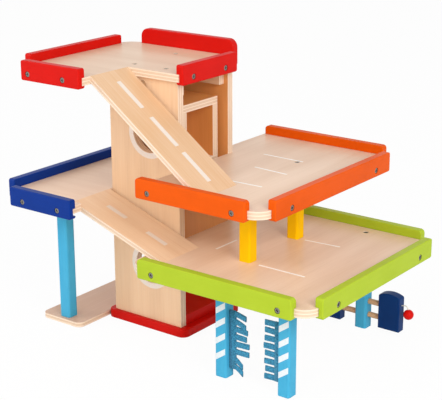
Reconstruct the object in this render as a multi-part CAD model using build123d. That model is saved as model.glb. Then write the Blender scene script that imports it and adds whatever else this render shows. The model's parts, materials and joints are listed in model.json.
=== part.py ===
from build123d import *
import math
import os
from dataclasses import dataclass

# Toy parking garage of plywood: a square tower with a lift, four decks at four heights, two ramps, a car
# wash and two fuel pumps. Millimetres. X runs to the right, Y to the back and Z up; the origin is on the
# ground, under the middle of the tower.

# Stock
PLY = 9.0
RAMP_PLY = 6.0
PLANK_PLY = 6.0
PILLAR_SIDE = 15.0
PILLAR_EDGE = 2.8

# Tower and its base
TOWER_WIDTH = 100.0
TOWER_DEPTH = 100.0
BASE_THICKNESS = 10.0
BASE_SIDE_MARGIN = 9.0
BASE_FRONT_MARGIN = 5.3
BASE_CORNER = 9.0
BASE_EDGE = 1.5
FLOOR_BLOCK_HEIGHT = 12.0
WINDOW_RADIUS = 22.0
WINDOW_X = 6.5
UPPER_WINDOW_Z = 234.5
LOWER_WINDOW_Z = 77.5
CLEAT_HEIGHT = 19.0
CLEAT_DEPTH = 8.5
CLEAT_END_MARGIN = 6.0

# Deck tops
RED_TOP = 309.0
ORANGE_TOP = 198.6
BLUE_TOP = 161.3
GREEN_TOP = 116.5

# Deck outlines: the distance of each edge from the tower's centre lines
RED_LEFT = -123.0
RED_RIGHT = 56.3
RED_BACK = 70.5
ORANGE_RIGHT = 213.0
ORANGE_BACK = 146.5
ORANGE_BACK_LEFT = 31.0
GREEN_RIGHT = 284.0
GREEN_BACK = 119.0
BLUE_LEFT = -144.5
BLUE_BACK = 85.0
BLUE_STRIP_RIGHT = -38.0
DECK_CORNER = 20.0
WIDE_CORNER = 32.0
STEP_CORNER = 3.0

# Ramps, and how far each deck's front edge lies past the ramps' outer side
RAMP_WIDTH = 61.5
RAMP_TO_TOWER = 4.7
RED_PAST_RAMP = 13.8
GREEN_PAST_RAMP = 23.8
BLUE_PAST_RAMP = 21.3
RAIL_TO_RAMP = 0.3
UPPER_RAMP_TOP_X = -17.5
UPPER_RAMP_FOOT_X = 132.8
LOWER_RAMP_FOOT_X = 80.6

# Rails
RAIL_THICKNESS = 9.5
RAIL_GROOVE = 4.5
RAIL_JAW = 3.0
RAIL_STAND = 10.5
RAIL_EDGE = 1.2
BACK_RAIL_EXTRA = 8.0
BACK_RAIL_CORNER = 10.0
GROOVE_CLEARANCE = 0.1

# Screws, each with its head sunk a little in a wider bore
SCREW_HEAD_RADIUS = 2.8
SCREW_HEAD_HEIGHT = 1.4
SCREW_HEAD_SINK = 0.5
SCREW_HEAD_GAP = 0.6
SCREW_SHANK_RADIUS = 1.5
SCREW_LENGTH = 14.0
DECK_SCREW_LENGTH = 20.0
SHORT_SCREW_LENGTH = 7.0
SCREW_CLEARANCE = 0.05
CROSS_LENGTH = 3.6
CROSS_WIDTH = 1.0
CROSS_DEPTH = 1.0

# Lift
CABIN_LENGTH = 82.0
CABIN_DEPTH = 66.0
CABIN_HEADROOM = 60.4
GUIDE_WIDTH = 10.0
GUIDE_X = -30.0
GUIDE_BITE = 2.7
GUIDE_CLEARANCE = 0.3
AXLE_RADIUS = 4.8
AXLE_CLEARANCE = 0.3
AXLE_DROP = 10.0
CRANK_TO_RAIL = 1.5
CRANK_THROW = 28.0
CRANK_THICKNESS = 8.0
CRANK_HALF_WIDTH = 7.5
KNOB_RADIUS = 6.0
KNOB_LENGTH = 18.0
KNOB_ROUND = 2.5
FIT_CLEARANCE = 0.02
EYE_RING_RADIUS = 2.6
EYE_WIRE_RADIUS = 0.8
EYE_FOOT_RADIUS = 1.2
EYE_FOOT_HEIGHT = 1.0

# Pillars: the middle of each
WASH_LEFT_X = 152.5
WASH_RIGHT_X = 233.5
WASH_Y = -103.0
BLUE_PILLAR_X = -87.4
BLUE_PILLAR_Y = -92.3
PUMP_PILLAR_X = 203.6
PUMP_PILLAR_Y = 101.0
FRONT_YELLOW_X = 148.8
FRONT_YELLOW_Y = -55.5
BACK_YELLOW_X = 147.5
BACK_YELLOW_Y = 38.5

# Plank beside the base
PLANK_LEFT = -120.0
PLANK_FRONT = -104.5
PLANK_BACK = 55.3
PLANK_CORNER = 8.0

# Car wash brushes
FELT = 3.0
FELT_STRIPS = 8
FELT_STRIP_HEIGHT = 6.4
FELT_PITCH = 8.7
FELT_BACKING = 8.0
FELT_REACH = 22.0
LEFT_BRUSH_Z = 10.4
RIGHT_BRUSH_Z = 11.4

# Fuel pumps
PUMP_WIDTH = 27.4
PUMP_THICKNESS = 12.5
PUMP_BOTTOM = 5.5
PUMP_SHOULDER = 46.7
PUMP_SHOULDER_ROUND = 2.5
PUMP_DOME = 3.4
PUMP_EDGE = 1.2
RIGHT_PUMP_GAP = 15.5
LEFT_PUMP_GAP = 21.0
LEFT_PUMP_DROP = 3.3
DOWEL_RADIUS = 3.25
DOWEL_LOW_Z = 16.5
DOWEL_HIGH_Z = 33.0
DOWEL_DEPTH = 8.0
BEAD_RADIUS = 6.0
BEAD_TO_PUMP = 3.2
BEAD_Z = 28.6
CORD_RADIUS = 0.6
CORD_SINK = 1.5

# Where the screws stand along each rail, and the free end of each rail
RED_FRONT_RAIL = (-104.3, -16.8)
RED_LEFT_RAIL = (-104.7, 50.5)
RED_BACK_RAIL = (-100.6, 39.1)
RED_RIGHT_RAIL = (-55.1, 44.3)
ORANGE_FRONT_RAIL = (50.4, 194.9)
ORANGE_RIGHT_RAIL = (-104.5, 125.4)
ORANGE_BACK_RAIL = (32.0, 198.6)
GREEN_FRONT_RAIL = (67.0, 265.3)
GREEN_RIGHT_RAIL = (-124.3, 100.4)
GREEN_BACK_RAIL = (50.0, 267.3)
BLUE_FRONT_RAIL = (-124.8, -30.7)
BLUE_LEFT_RAIL = (-120.0, 65.0)
BLUE_BACK_RAIL = (-123.8, -50.0)
RED_FRONT_SCREWS = (-94.1, -41.5)
RED_LEFT_SCREWS = (-76.0, 22.6)
RED_BACK_SCREWS = (-72.0, 12.0)
RED_RIGHT_SCREWS = (-35.6, 22.6)
ORANGE_FRONT_SCREWS = (66.9, 178.2)
ORANGE_RIGHT_SCREWS = (-74.0, 95.1)
ORANGE_BACK_SCREWS = (58.0, 172.0)
GREEN_FRONT_SCREWS = (86.3, 248.6)
GREEN_RIGHT_SCREWS = (-95.0, 73.9)
GREEN_BACK_SCREWS = (86.3, 240.0)
BLUE_FRONT_SCREWS = (-105.1, -50.9)
BLUE_LEFT_SCREWS = (-90.0, 35.0)
BLUE_BACK_SCREWS = (-105.1, -68.0)
RED_DECK_SCREW_X = 22.9
ORANGE_DECK_SCREW = (134.9, 58.9)

# Sizes that follow from those above
WALL_X = TOWER_WIDTH / 2
WALL_Y = TOWER_DEPTH / 2
SHAFT_Y = WALL_Y - PLY
BASE_X = WALL_X + BASE_SIDE_MARGIN
BASE_Y = WALL_Y + BASE_FRONT_MARGIN
RAMP_INNER_Y = -WALL_Y - RAMP_TO_TOWER
RAMP_OUTER_Y = RAMP_INNER_Y - RAMP_WIDTH
RED_FRONT = RAMP_OUTER_Y - RED_PAST_RAMP
ORANGE_FRONT = RAMP_OUTER_Y - RAIL_TO_RAMP - RAIL_GROOVE
GREEN_FRONT = RAMP_OUTER_Y - GREEN_PAST_RAMP
BLUE_FRONT = RAMP_OUTER_Y - BLUE_PAST_RAMP
RAIL_OUTSIDE = RAIL_THICKNESS - RAIL_GROOVE
RED_UNDERSIDE = RED_TOP - PLY
ORANGE_UNDERSIDE = ORANGE_TOP - PLY
BLUE_UNDERSIDE = BLUE_TOP - PLY
GREEN_UNDERSIDE = GREEN_TOP - PLY
CLEAT_BOTTOM = RED_UNDERSIDE - CLEAT_HEIGHT
AXLE_Z = RED_UNDERSIDE - AXLE_DROP
CABIN_Y = CABIN_DEPTH / 2
FLOOR_BLOCK_TOP = BASE_THICKNESS + FLOOR_BLOCK_HEIGHT
WASH_INNER_LEFT = WASH_LEFT_X + PILLAR_SIDE / 2
WASH_INNER_RIGHT = WASH_RIGHT_X - PILLAR_SIDE / 2
BRUSH_HEIGHT = (FELT_STRIPS - 1) * FELT_PITCH + FELT_STRIP_HEIGHT
RIGHT_PUMP_X = PUMP_PILLAR_X + PILLAR_SIDE / 2 + RIGHT_PUMP_GAP + PUMP_WIDTH / 2
LEFT_PUMP_X = PUMP_PILLAR_X - PILLAR_SIDE / 2 - LEFT_PUMP_GAP - PUMP_WIDTH / 2


@dataclass(frozen=True)
class Rail:
    """A grooved rail over one straight edge of a deck."""

    side: str
    edge: float
    ends: tuple
    top: float
    screws: tuple
    end_corner: float
    extra: float = 0.0


RAILS = {
    "red_front_rail": Rail("front", RED_FRONT, RED_FRONT_RAIL, RED_TOP, RED_FRONT_SCREWS, 2.5),
    "red_left_rail": Rail("left", RED_LEFT, RED_LEFT_RAIL, RED_TOP, RED_LEFT_SCREWS, 2.5),
    "red_back_rail": Rail(
        "back", RED_BACK, RED_BACK_RAIL, RED_TOP, RED_BACK_SCREWS, BACK_RAIL_CORNER, BACK_RAIL_EXTRA
    ),
    "red_right_rail": Rail("right", RED_RIGHT, RED_RIGHT_RAIL, RED_TOP, RED_RIGHT_SCREWS, 2.5),
    "orange_front_rail": Rail("front", ORANGE_FRONT, ORANGE_FRONT_RAIL, ORANGE_TOP, ORANGE_FRONT_SCREWS, 4.0),
    "orange_right_rail": Rail("right", ORANGE_RIGHT, ORANGE_RIGHT_RAIL, ORANGE_TOP, ORANGE_RIGHT_SCREWS, 2.5),
    "orange_back_rail": Rail("back", ORANGE_BACK, ORANGE_BACK_RAIL, ORANGE_TOP, ORANGE_BACK_SCREWS, 4.0),
    "green_front_rail": Rail("front", GREEN_FRONT, GREEN_FRONT_RAIL, GREEN_TOP, GREEN_FRONT_SCREWS, 4.5),
    "green_right_rail": Rail("right", GREEN_RIGHT, GREEN_RIGHT_RAIL, GREEN_TOP, GREEN_RIGHT_SCREWS, 2.5),
    "green_back_rail": Rail("back", GREEN_BACK, GREEN_BACK_RAIL, GREEN_TOP, GREEN_BACK_SCREWS, 4.5),
    "blue_front_rail": Rail("front", BLUE_FRONT, BLUE_FRONT_RAIL, BLUE_TOP, BLUE_FRONT_SCREWS, 2.5),
    "blue_left_rail": Rail("left", BLUE_LEFT, BLUE_LEFT_RAIL, BLUE_TOP, BLUE_LEFT_SCREWS, 2.5),
    "blue_back_rail": Rail("back", BLUE_BACK, BLUE_BACK_RAIL, BLUE_TOP, BLUE_BACK_SCREWS, 2.5),
}
OUTWARD = {"front": (0, -1), "back": (0, 1), "left": (-1, 0), "right": (1, 0)}


def block(x_range, y_range, z_range):
    """A box between the given limits."""
    sizes = [high - low for low, high in (x_range, y_range, z_range)]
    middles = [(high + low) / 2 for low, high in (x_range, y_range, z_range)]
    return Pos(*middles) * Box(*sizes)


def plate(outline, corners, top, thickness):
    """A flat plate under the height top; corners holds a radius for each outline point, 0 where sharp."""
    shape = make_face(Polyline(*outline, close=True))
    for point, radius in zip(outline, corners):
        if radius:
            corner = shape.vertices().sort_by_distance(Vector(*point, 0))[0]
            shape = fillet(corner, radius)
    return Pos(0, 0, top - thickness) * extrude(shape, thickness)


def upright(axis_x, axis_y, bottom, top):
    """A square pillar with rounded long edges."""
    pillar = block(
        (axis_x - PILLAR_SIDE / 2, axis_x + PILLAR_SIDE / 2),
        (axis_y - PILLAR_SIDE / 2, axis_y + PILLAR_SIDE / 2),
        (bottom, top),
    )
    return fillet(pillar.edges().filter_by(Axis.Z), PILLAR_EDGE)


def rod(radius, start, end):
    """A round bar from start to end."""
    axis = Vector(*end) - Vector(*start)
    return extrude(Plane(origin=start, z_dir=axis) * Circle(radius), axis.length)


# ---- screws ----


def rail_seats(rail):
    """Where a rail's screw heads lie flush in its outer face, and which way they point."""
    across = OUTWARD[rail.side]
    face = rail.edge + RAIL_OUTSIDE * (across[0] + across[1])
    height = rail.top - PLY / 2
    for along in rail.screws:
        place = (face, along, height) if across[0] else (along, face, height)
        yield place, (*across, 0)


def deck_seats(deck):
    """Where the screws in the top of a deck lie, with the length of each."""
    if deck == "red":
        for x in (-RED_DECK_SCREW_X, RED_DECK_SCREW_X):
            for y in (-SHAFT_Y + CLEAT_DEPTH / 2, SHAFT_Y - CLEAT_DEPTH / 2):
                yield (x, y, RED_TOP), DECK_SCREW_LENGTH
    elif deck == "orange":
        yield (*ORANGE_DECK_SCREW, ORANGE_TOP), SHORT_SCREW_LENGTH
    elif deck == "green":
        yield (PUMP_PILLAR_X, PUMP_PILLAR_Y, GREEN_TOP), DECK_SCREW_LENGTH


def screw(place, outward, length):
    """A cross-recess screw whose flat head lies sunk under the surface at place and faces outward."""
    seat = Plane(origin=place, z_dir=outward).offset(-SCREW_HEAD_SINK)
    head = seat * Pos(0, 0, -SCREW_HEAD_HEIGHT / 2) * Cylinder(SCREW_HEAD_RADIUS, SCREW_HEAD_HEIGHT)
    shank = seat * Pos(0, 0, -length / 2) * Cylinder(SCREW_SHANK_RADIUS, length)
    slot = Box(CROSS_LENGTH, CROSS_WIDTH, 2 * CROSS_DEPTH) + Box(CROSS_WIDTH, CROSS_LENGTH, 2 * CROSS_DEPTH)
    return head + shank - seat * Rot(0, 0, 20) * slot


def screw_hole(place, outward, length):
    """The bore for a screw's head, and the hole that its shank fits."""
    seat = Plane(origin=place, z_dir=outward)
    depth = SCREW_HEAD_SINK + SCREW_HEAD_HEIGHT
    head = seat * Cylinder(SCREW_HEAD_RADIUS + SCREW_HEAD_GAP, 2 * depth)
    deep = SCREW_HEAD_SINK + length
    shank = seat * Pos(0, 0, -deep / 2) * Cylinder(SCREW_SHANK_RADIUS + SCREW_CLEARANCE, deep)
    return head + shank


def drilled(piece, colour):
    """The piece with the holes of every screw that enters a deck of this colour."""
    for name, rail in RAILS.items():
        if name.startswith(colour):
            for place, outward in rail_seats(rail):
                piece -= screw_hole(place, outward, SCREW_LENGTH)
    for place, length in deck_seats(colour):
        piece -= screw_hole(place, (0, 0, 1), length)
    return piece


def screws(colour):
    """All the screws of one deck, each a solid of its own."""
    pieces = []
    for name, rail in RAILS.items():
        if name.startswith(colour):
            pieces += [screw(place, outward, SCREW_LENGTH) for place, outward in rail_seats(rail)]
    pieces += [screw(place, (0, 0, 1), length) for place, length in deck_seats(colour)]
    return Compound(children=[piece.solid() for piece in pieces])


# ---- decks, rails and ramps ----


def red_deck():
    """Top deck: over the tower, with a bay to the front left beside the ramp's head."""
    outline = [
        (RED_LEFT, RED_FRONT),
        (UPPER_RAMP_TOP_X, RED_FRONT),
        (UPPER_RAMP_TOP_X, RAMP_INNER_Y),
        (RED_RIGHT, RAMP_INNER_Y),
        (RED_RIGHT, RED_BACK),
        (RED_LEFT, RED_BACK),
    ]
    corners = [WIDE_CORNER, 0, 0, STEP_CORNER, WIDE_CORNER, DECK_CORNER]
    return drilled(plate(outline, corners, RED_TOP, PLY), "red")


def orange_deck():
    """Deck right of the tower, which also runs a little way behind it."""
    outline = [
        (WALL_X, ORANGE_FRONT),
        (ORANGE_RIGHT, ORANGE_FRONT),
        (ORANGE_RIGHT, ORANGE_BACK),
        (ORANGE_BACK_LEFT, ORANGE_BACK),
        (ORANGE_BACK_LEFT, WALL_Y),
        (WALL_X, WALL_Y),
    ]
    corners = [STEP_CORNER, DECK_CORNER, DECK_CORNER, STEP_CORNER, 0, 0]
    return drilled(plate(outline, corners, ORANGE_TOP, PLY), "orange")


def green_deck():
    """Lowest deck, right of the tower."""
    outline = [
        (WALL_X, GREEN_FRONT),
        (GREEN_RIGHT, GREEN_FRONT),
        (GREEN_RIGHT, GREEN_BACK),
        (WALL_X, GREEN_BACK),
    ]
    corners = [DECK_CORNER, DECK_CORNER, DECK_CORNER, STEP_CORNER]
    return drilled(plate(outline, corners, GREEN_TOP, PLY), "green")


def blue_deck():
    """Deck left of the tower, with a strip along the front that runs past the lower ramp's head."""
    outline = [
        (BLUE_LEFT, BLUE_FRONT),
        (BLUE_STRIP_RIGHT, BLUE_FRONT),
        (BLUE_STRIP_RIGHT, RAMP_OUTER_Y),
        (-WALL_X, RAMP_OUTER_Y),
        (-WALL_X, BLUE_BACK),
        (BLUE_LEFT, BLUE_BACK),
    ]
    corners = [WIDE_CORNER, 0, 0, 0, STEP_CORNER, DECK_CORNER]
    return drilled(plate(outline, corners, BLUE_TOP, PLY), "blue")


def grooved_rail(rail, colour):
    """A rail with rounded ends and edges, and the groove that takes the deck's edge."""
    start, end = rail.ends
    low = rail.top - PLY - RAIL_JAW
    high = rail.top + RAIL_STAND + rail.extra
    profile = Rectangle(end - start, high - low)
    lower_corner = min(rail.end_corner, RAIL_JAW - RAIL_EDGE / 2)
    upper = profile.vertices().sort_by(Axis.Y)[-2:]
    profile = fillet(upper, rail.end_corner)
    lower = profile.vertices().sort_by(Axis.Y)[:2]
    profile = fillet(lower, lower_corner)
    bar = extrude(profile, RAIL_THICKNESS)
    bar = fillet(bar.faces().filter_by(Axis.Z).edges(), RAIL_EDGE)
    groove_height = PLY + GROOVE_CLEARANCE
    groove_middle = -(high - low) / 2 + RAIL_JAW + groove_height / 2
    bar -= Pos(0, groove_middle, RAIL_GROOVE / 2) * Box(end - start + 2, groove_height, RAIL_GROOVE)
    across = OUTWARD[rail.side]
    inner_face = rail.edge - RAIL_GROOVE * (across[0] + across[1])
    middle = (start + end) / 2
    place = (inner_face, middle) if across[0] else (middle, inner_face)
    along = (-across[1], across[0], 0)
    bar = Plane(origin=(*place, (low + high) / 2), x_dir=along, z_dir=(*across, 0)) * bar
    return drilled(bar, colour)


def ramp(top_x, top_z, foot_x, foot_z):
    """A plywood ramp: cut upright at its head, and flat under its foot to lie on the deck below."""
    slope = math.atan2(top_z - foot_z, foot_x - top_x)
    outline = [
        (top_x, top_z),
        (foot_x, foot_z),
        (foot_x - RAMP_PLY / math.sin(slope), foot_z),
        (top_x, top_z - RAMP_PLY / math.cos(slope)),
    ]
    side = make_face(Polyline(*outline, close=True))
    return Plane(origin=(0, RAMP_INNER_Y, 0), x_dir=(1, 0, 0), z_dir=(0, -1, 0)) * extrude(side, RAMP_WIDTH)


# ---- tower ----


def base_plate():
    """Plate that the tower stands on."""
    outline = [(-BASE_X, -BASE_Y), (BASE_X, -BASE_Y), (BASE_X, BASE_Y), (-BASE_X, BASE_Y)]
    plain = plate(outline, [BASE_CORNER] * 4, BASE_THICKNESS, BASE_THICKNESS)
    return fillet(plain.faces().sort_by(Axis.Z)[-1].edges(), BASE_EDGE)


def ground_plank():
    """Thin plank on the ground beside the base, under the blue deck's pillar."""
    outline = [
        (PLANK_LEFT, PLANK_FRONT),
        (-BASE_X, PLANK_FRONT),
        (-BASE_X, PLANK_BACK),
        (PLANK_LEFT, PLANK_BACK),
    ]
    return plate(outline, [PLANK_CORNER] * 4, PLANK_PLY, PLANK_PLY)


def shaft_floor():
    """Block between the walls at the shaft's foot, level with nothing but the lowered lift."""
    return block((-WALL_X, WALL_X), (-SHAFT_Y, SHAFT_Y), (BASE_THICKNESS, FLOOR_BLOCK_TOP))


def tower_wall(inner_y, outer_y):
    """One wall, with the hole for the winding axle."""
    low, high = sorted((inner_y, outer_y))
    wall = block((-WALL_X, WALL_X), (low, high), (BASE_THICKNESS, RED_UNDERSIDE))
    return wall - rod(AXLE_RADIUS + AXLE_CLEARANCE, (0, low - 1, AXLE_Z), (0, high + 1, AXLE_Z))


def front_wall():
    """Front wall with two round windows."""
    wall = tower_wall(-SHAFT_Y, -WALL_Y)
    for height in (UPPER_WINDOW_Z, LOWER_WINDOW_Z):
        wall -= rod(WINDOW_RADIUS, (WINDOW_X, -WALL_Y - 1, height), (WINDOW_X, -SHAFT_Y + 1, height))
    return wall


def cleat(side):
    """Bar along the top of a wall's inner face, which the top deck is screwed to."""
    ends = WALL_X - CLEAT_END_MARGIN
    low, high = sorted((side * SHAFT_Y, side * (SHAFT_Y - CLEAT_DEPTH)))
    bar = block((-ends, ends), (low, high), (CLEAT_BOTTOM, RED_UNDERSIDE))
    bar -= rod(AXLE_RADIUS + AXLE_CLEARANCE, (0, low - 1, AXLE_Z), (0, high + 1, AXLE_Z))
    return drilled(bar, "red")


def guide(side):
    """Upright bar on a wall's inner face, which runs in a groove of the cabin."""
    tip = CABIN_Y - GUIDE_BITE
    low, high = sorted((side * SHAFT_Y, side * tip))
    limits = (GUIDE_X - GUIDE_WIDTH / 2, GUIDE_X + GUIDE_WIDTH / 2)
    return block(limits, (low, high), (FLOOR_BLOCK_TOP, CLEAT_BOTTOM))


# ---- lift ----


def guide_space():
    """Room for both guide bars, with their running clearance."""
    half = GUIDE_WIDTH / 2 + GUIDE_CLEARANCE
    space = []
    for side in (-1, 1):
        low, high = sorted((side * (CABIN_Y - GUIDE_BITE - GUIDE_CLEARANCE), side * SHAFT_Y))
        space.append(block((GUIDE_X - half, GUIDE_X + half), (low, high), (0, RED_TOP)))
    return space


def cabin_slab(underside):
    """Roof or floor of the cabin."""
    slab = block(
        (-CABIN_LENGTH / 2, CABIN_LENGTH / 2), (-CABIN_Y, CABIN_Y), (underside, underside + PLY)
    )
    for space in guide_space():
        slab -= space
    return slab


def cabin_panel(side):
    """Front or back panel of the cabin, between its floor and roof."""
    low, high = sorted((side * CABIN_Y, side * (CABIN_Y - PLY)))
    panel = block(
        (-CABIN_LENGTH / 2, CABIN_LENGTH / 2), (low, high), (ORANGE_TOP, ORANGE_TOP + CABIN_HEADROOM)
    )
    for space in guide_space():
        panel -= space
    return panel


def cord_eye():
    """Wire eye on the cabin roof, under the side of the axle that winds the cord up."""
    roof_top = ORANGE_TOP + CABIN_HEADROOM + PLY
    ring = Rot(90, 0, 0) * Torus(EYE_RING_RADIUS, EYE_WIRE_RADIUS)
    ring = Pos(-AXLE_RADIUS, 0, roof_top + EYE_RING_RADIUS) * ring
    foot = rod(EYE_FOOT_RADIUS, (-AXLE_RADIUS, 0, roof_top), (-AXLE_RADIUS, 0, roof_top + EYE_FOOT_HEIGHT))
    return ring + foot - cabin_slab(roof_top - PLY)


def winding_axle():
    """Dowel through both walls; it ends flush in the front wall, and carries the crank at the back."""
    crank_y = RED_BACK + RAIL_OUTSIDE + CRANK_TO_RAIL + CRANK_THICKNESS
    return rod(AXLE_RADIUS, (0, -WALL_Y, AXLE_Z), (0, crank_y, AXLE_Z))


def crank_arm():
    """Arm on the axle's back end, clear of the top deck's back rail, hanging down at rest."""
    near = RED_BACK + RAIL_OUTSIDE + CRANK_TO_RAIL
    knob_z = AXLE_Z - CRANK_THROW
    arm = block((-CRANK_HALF_WIDTH, CRANK_HALF_WIDTH), (near, near + CRANK_THICKNESS), (knob_z, AXLE_Z))
    for height in (AXLE_Z, knob_z):
        arm += rod(CRANK_HALF_WIDTH, (0, near, height), (0, near + CRANK_THICKNESS, height))
    reach = near + CRANK_THICKNESS + 1
    return arm - rod(AXLE_RADIUS + FIT_CLEARANCE, (0, near - 1, AXLE_Z), (0, reach, AXLE_Z))


def crank_knob():
    """Turned knob on the arm."""
    near = RED_BACK + RAIL_OUTSIDE + CRANK_TO_RAIL + CRANK_THICKNESS
    knob_z = AXLE_Z - CRANK_THROW
    knob = rod(KNOB_RADIUS, (0, near, knob_z), (0, near + KNOB_LENGTH, knob_z))
    return fillet(knob.faces().sort_by(Axis.Y)[-1].edges(), KNOB_ROUND)


# ---- car wash and pumps ----


def brush(pillar_face, inward, bottom):
    """Felt comb: a backing on the pillar's inner face and a row of strips that reach inward."""
    tip = pillar_face + inward * FELT_REACH
    comb = block(
        sorted((pillar_face, pillar_face + inward * FELT_BACKING)),
        (WASH_Y - FELT / 2, WASH_Y + FELT / 2),
        (bottom, bottom + BRUSH_HEIGHT),
    )
    for strip in range(FELT_STRIPS):
        low = bottom + strip * FELT_PITCH
        comb += block(
            sorted((pillar_face, tip)),
            (WASH_Y - FELT / 2, WASH_Y + FELT / 2),
            (low, low + FELT_STRIP_HEIGHT),
        )
    return comb


def dowel_holes():
    """Space of both pump dowels, with their fit."""
    near = LEFT_PUMP_X + PUMP_WIDTH / 2 - DOWEL_DEPTH
    far = RIGHT_PUMP_X - PUMP_WIDTH / 2 + DOWEL_DEPTH
    for height in (DOWEL_LOW_Z, DOWEL_HIGH_Z):
        yield rod(DOWEL_RADIUS + FIT_CLEARANCE, (near, PUMP_PILLAR_Y, height), (far, PUMP_PILLAR_Y, height))


def pump(middle_x, drop):
    """Fuel pump: an upright slab with a domed top, hung on the two dowels; drop is how far down it hangs."""
    half = PUMP_WIDTH / 2
    outline = Polyline(
        (-half, PUMP_SHOULDER), (-half, PUMP_BOTTOM), (half, PUMP_BOTTOM), (half, PUMP_SHOULDER)
    )
    dome = ThreePointArc((half, PUMP_SHOULDER), (0, PUMP_SHOULDER + PUMP_DOME), (-half, PUMP_SHOULDER))
    profile = make_face(outline + dome)
    shoulders = [point for point in profile.vertices() if abs(point.Y - PUMP_SHOULDER) < PUMP_EDGE]
    slab = extrude(fillet(shoulders, PUMP_SHOULDER_ROUND), PUMP_THICKNESS)
    slab = fillet(slab.faces().filter_by(Axis.Z).edges(), PUMP_EDGE)
    back = PUMP_PILLAR_Y + PUMP_THICKNESS / 2
    body = Plane(origin=(middle_x, back, -drop), x_dir=(1, 0, 0), z_dir=(0, -1, 0)) * slab
    for hole in dowel_holes():
        body -= hole
    return body


def pump_pillar():
    """Pillar under the green deck that carries both pumps."""
    pillar = drilled(upright(PUMP_PILLAR_X, PUMP_PILLAR_Y, 0, GREEN_UNDERSIDE), "green")
    for hole in dowel_holes():
        pillar -= hole
    return pillar


def pump_dowels():
    """The two dowels through the pump pillar."""
    near = LEFT_PUMP_X + PUMP_WIDTH / 2 - DOWEL_DEPTH
    far = RIGHT_PUMP_X - PUMP_WIDTH / 2 + DOWEL_DEPTH
    dowels = []
    for height in (DOWEL_LOW_Z, DOWEL_HIGH_Z):
        dowels.append(rod(DOWEL_RADIUS, (near, PUMP_PILLAR_Y, height), (far, PUMP_PILLAR_Y, height)).solid())
    return Compound(children=dowels)


def hose_route():
    """Points of the hose cord, from inside the right pump's side to inside the bead's top."""
    face = RIGHT_PUMP_X + PUMP_WIDTH / 2
    bead_x = face + BEAD_TO_PUMP + BEAD_RADIUS
    bead_top = BEAD_Z + BEAD_RADIUS
    return [
        (face - CORD_SINK, PUMP_PILLAR_Y, bead_top + 2.4),
        (face + 3.6, PUMP_PILLAR_Y, bead_top + 4.2),
        (bead_x - 1.2, PUMP_PILLAR_Y, bead_top + 3.0),
        (bead_x, PUMP_PILLAR_Y, bead_top - CORD_SINK),
    ]


def hose_cord():
    """Short limp cord between the right pump and its bead."""
    points = [Vector(*point) for point in hose_route()]
    runs = [(b - a).length for a, b in zip(points, points[1:])]
    radii = []
    for a, b, c in zip(points, points[1:], points[2:]):
        turn = (b - a).get_angle(c - b)
        shorter = min((b - a).length, (c - b).length)
        radii.append(0.45 * shorter / math.tan(math.radians(turn / 2)))
    print("hose cord radii", [round(r, 2) for r in radii], "length", round(sum(runs), 1))
    path = FilletPolyline(*points, radius=radii)
    return sweep(Plane(origin=path @ 0, z_dir=path % 0) * Circle(CORD_RADIUS), path=path)


def hose_bead():
    """Wooden bead at the hose cord's end, beside the right pump."""
    bead_x = RIGHT_PUMP_X + PUMP_WIDTH / 2 + BEAD_TO_PUMP + BEAD_RADIUS
    return Pos(bead_x, PUMP_PILLAR_Y, BEAD_Z) * Sphere(BEAD_RADIUS)


def make_parts():
    """Every piece of the garage, under its node name."""
    parts = {
        "base_plate": base_plate(),
        "ground_plank": ground_plank(),
        "shaft_floor": shaft_floor(),
        "tower_front_wall": front_wall(),
        "tower_back_wall": tower_wall(SHAFT_Y, WALL_Y),
        "front_cleat": cleat(-1),
        "back_cleat": cleat(1),
        "front_guide": guide(-1),
        "back_guide": guide(1),
        "lift_floor": cabin_slab(ORANGE_UNDERSIDE),
        "lift_roof": cabin_slab(ORANGE_TOP + CABIN_HEADROOM),
        "lift_front_panel": cabin_panel(-1),
        "lift_back_panel": cabin_panel(1),
        "lift_cord_eye": cord_eye(),
        "winding_axle": winding_axle(),
        "crank_arm": crank_arm(),
        "crank_knob": crank_knob(),
        "red_deck": red_deck(),
        "orange_deck": orange_deck(),
        "green_deck": green_deck(),
        "blue_deck": blue_deck(),
        "upper_ramp": ramp(UPPER_RAMP_TOP_X, RED_TOP, UPPER_RAMP_FOOT_X, ORANGE_TOP),
        "lower_ramp": ramp(-WALL_X, BLUE_TOP, LOWER_RAMP_FOOT_X, GREEN_TOP),
        "blue_deck_pillar": upright(BLUE_PILLAR_X, BLUE_PILLAR_Y, PLANK_PLY, BLUE_UNDERSIDE),
        "wash_left_pillar": upright(WASH_LEFT_X, WASH_Y, 0, GREEN_UNDERSIDE),
        "wash_right_pillar": upright(WASH_RIGHT_X, WASH_Y, 0, GREEN_UNDERSIDE),
        "pump_pillar": pump_pillar(),
        "front_yellow_pillar": upright(FRONT_YELLOW_X, FRONT_YELLOW_Y, GREEN_TOP, ORANGE_UNDERSIDE),
        "back_yellow_pillar": upright(BACK_YELLOW_X, BACK_YELLOW_Y, GREEN_TOP, ORANGE_UNDERSIDE),
        "wash_brush_left": brush(WASH_INNER_LEFT, 1, LEFT_BRUSH_Z),
        "wash_brush_right": brush(WASH_INNER_RIGHT, -1, RIGHT_BRUSH_Z),
        "fuel_pump_left": pump(LEFT_PUMP_X, LEFT_PUMP_DROP),
        "fuel_pump_right": pump(RIGHT_PUMP_X, 0),
        "pump_dowels": pump_dowels(),
        "hose_cord": hose_cord(),
        "hose_bead": hose_bead(),
    }
    for name, rail in RAILS.items():
        parts[name] = grooved_rail(rail, name.split("_")[0])
    for colour in ("red", "orange", "green", "blue"):
        parts[f"{colour}_screws"] = screws(colour)
    return parts


os.makedirs("parts", exist_ok=True)
for node, shape in make_parts().items():
    export_step(shape, f"parts/{node}.step")
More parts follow.
